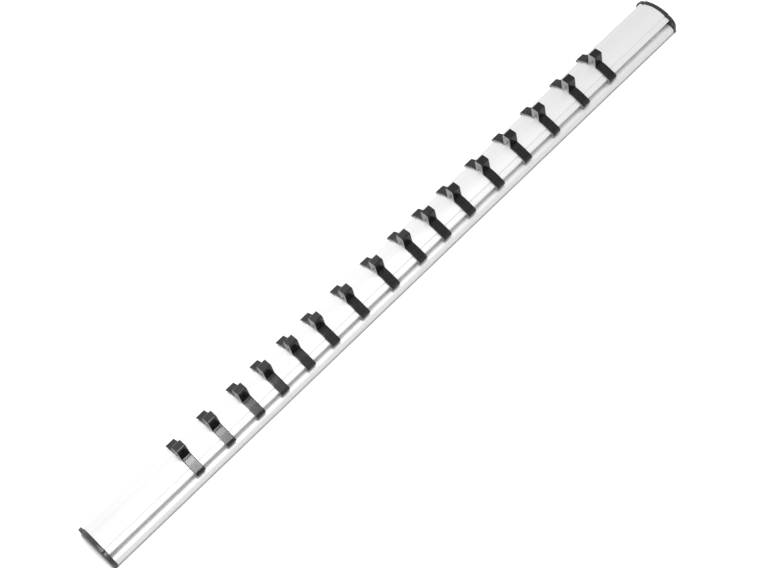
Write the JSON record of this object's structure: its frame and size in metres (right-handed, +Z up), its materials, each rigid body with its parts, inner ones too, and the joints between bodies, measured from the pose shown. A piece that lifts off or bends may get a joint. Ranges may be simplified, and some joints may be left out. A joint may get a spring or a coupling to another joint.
{
  "type": "socket rail",
  "caption": "Aluminium rail with sliding spring-steel clips that hold quarter-inch drive sockets on upright posts, closed by moulded end caps.",
  "frame": {"origin": "middle of the rail's length and width, on the surface it stands on", "axes": "+X runs along the rail from the near end to the far end, +Y goes across it to the left, +Z is up along the clips' posts"},
  "size_m": [0.47, 0.0304, 0.0234],
  "materials": {
    "rail_aluminium": "clear satin anodising over fine lines drawn along the length",
    "cap_plastic": "black moulded plastic, half gloss",
    "clip_blackened_steel": "blackened spring steel, half gloss, lightly rubbed on its bends"
  },
  "bodies": {
    "rail_body": {"rail": "rail_aluminium", "end_cap_near": "cap_plastic", "end_cap_far": "cap_plastic"},
    "clip_01": {"socket_clip_01": "clip_blackened_steel"},
    "clip_02": {"socket_clip_02": "clip_blackened_steel"},
    "clip_03": {"socket_clip_03": "clip_blackened_steel"},
    "clip_04": {"socket_clip_04": "clip_blackened_steel"},
    "clip_05": {"socket_clip_05": "clip_blackened_steel"},
    "clip_06": {"socket_clip_06": "clip_blackened_steel"},
    "clip_07": {"socket_clip_07": "clip_blackened_steel"},
    "clip_08": {"socket_clip_08": "clip_blackened_steel"},
    "clip_09": {"socket_clip_09": "clip_blackened_steel"},
    "clip_10": {"socket_clip_10": "clip_blackened_steel"},
    "clip_11": {"socket_clip_11": "clip_blackened_steel"},
    "clip_12": {"socket_clip_12": "clip_blackened_steel"},
    "clip_13": {"socket_clip_13": "clip_blackened_steel"},
    "clip_14": {"socket_clip_14": "clip_blackened_steel"},
    "clip_15": {"socket_clip_15": "clip_blackened_steel"},
    "clip_16": {"socket_clip_16": "clip_blackened_steel"}
  },
  "joints": [
    {"name": "clip_01_slide", "type": "slide", "parent": "rail_body", "child": "clip_01", "axis": [1, 0, 0], "range_m": [-0.0622, 0.0082]},
    {"name": "clip_02_slide", "type": "slide", "parent": "rail_body", "child": "clip_02", "axis": [1, 0, 0], "range_m": [-0.0082, 0.008]},
    {"name": "clip_03_slide", "type": "slide", "parent": "rail_body", "child": "clip_03", "axis": [1, 0, 0], "range_m": [-0.008, 0.0061]},
    {"name": "clip_04_slide", "type": "slide", "parent": "rail_body", "child": "clip_04", "axis": [1, 0, 0], "range_m": [-0.0061, 0.007]},
    {"name": "clip_05_slide", "type": "slide", "parent": "rail_body", "child": "clip_05", "axis": [1, 0, 0], "range_m": [-0.007, 0.0065]},
    {"name": "clip_06_slide", "type": "slide", "parent": "rail_body", "child": "clip_06", "axis": [1, 0, 0], "range_m": [-0.0065, 0.0086]},
    {"name": "clip_07_slide", "type": "slide", "parent": "rail_body", "child": "clip_07", "axis": [1, 0, 0], "range_m": [-0.0086, 0.009]},
    {"name": "clip_08_slide", "type": "slide", "parent": "rail_body", "child": "clip_08", "axis": [1, 0, 0], "range_m": [-0.009, 0.0081]},
    {"name": "clip_09_slide", "type": "slide", "parent": "rail_body", "child": "clip_09", "axis": [1, 0, 0], "range_m": [-0.0081, 0.007]},
    {"name": "clip_10_slide", "type": "slide", "parent": "rail_body", "child": "clip_10", "axis": [1, 0, 0], "range_m": [-0.007, 0.0073]},
    {"name": "clip_11_slide", "type": "slide", "parent": "rail_body", "child": "clip_11", "axis": [1, 0, 0], "range_m": [-0.0073, 0.0092]},
    {"name": "clip_12_slide", "type": "slide", "parent": "rail_body", "child": "clip_12", "axis": [1, 0, 0], "range_m": [-0.0092, 0.0088]},
    {"name": "clip_13_slide", "type": "slide", "parent": "rail_body", "child": "clip_13", "axis": [1, 0, 0], "range_m": [-0.0088, 0.0094]},
    {"name": "clip_14_slide", "type": "slide", "parent": "rail_body", "child": "clip_14", "axis": [1, 0, 0], "range_m": [-0.0094, 0.0102]},
    {"name": "clip_15_slide", "type": "slide", "parent": "rail_body", "child": "clip_15", "axis": [1, 0, 0], "range_m": [-0.0102, 0.009]},
    {"name": "clip_16_slide", "type": "slide", "parent": "rail_body", "child": "clip_16", "axis": [1, 0, 0], "range_m": [-0.009, 0.0528]}
  ]
}
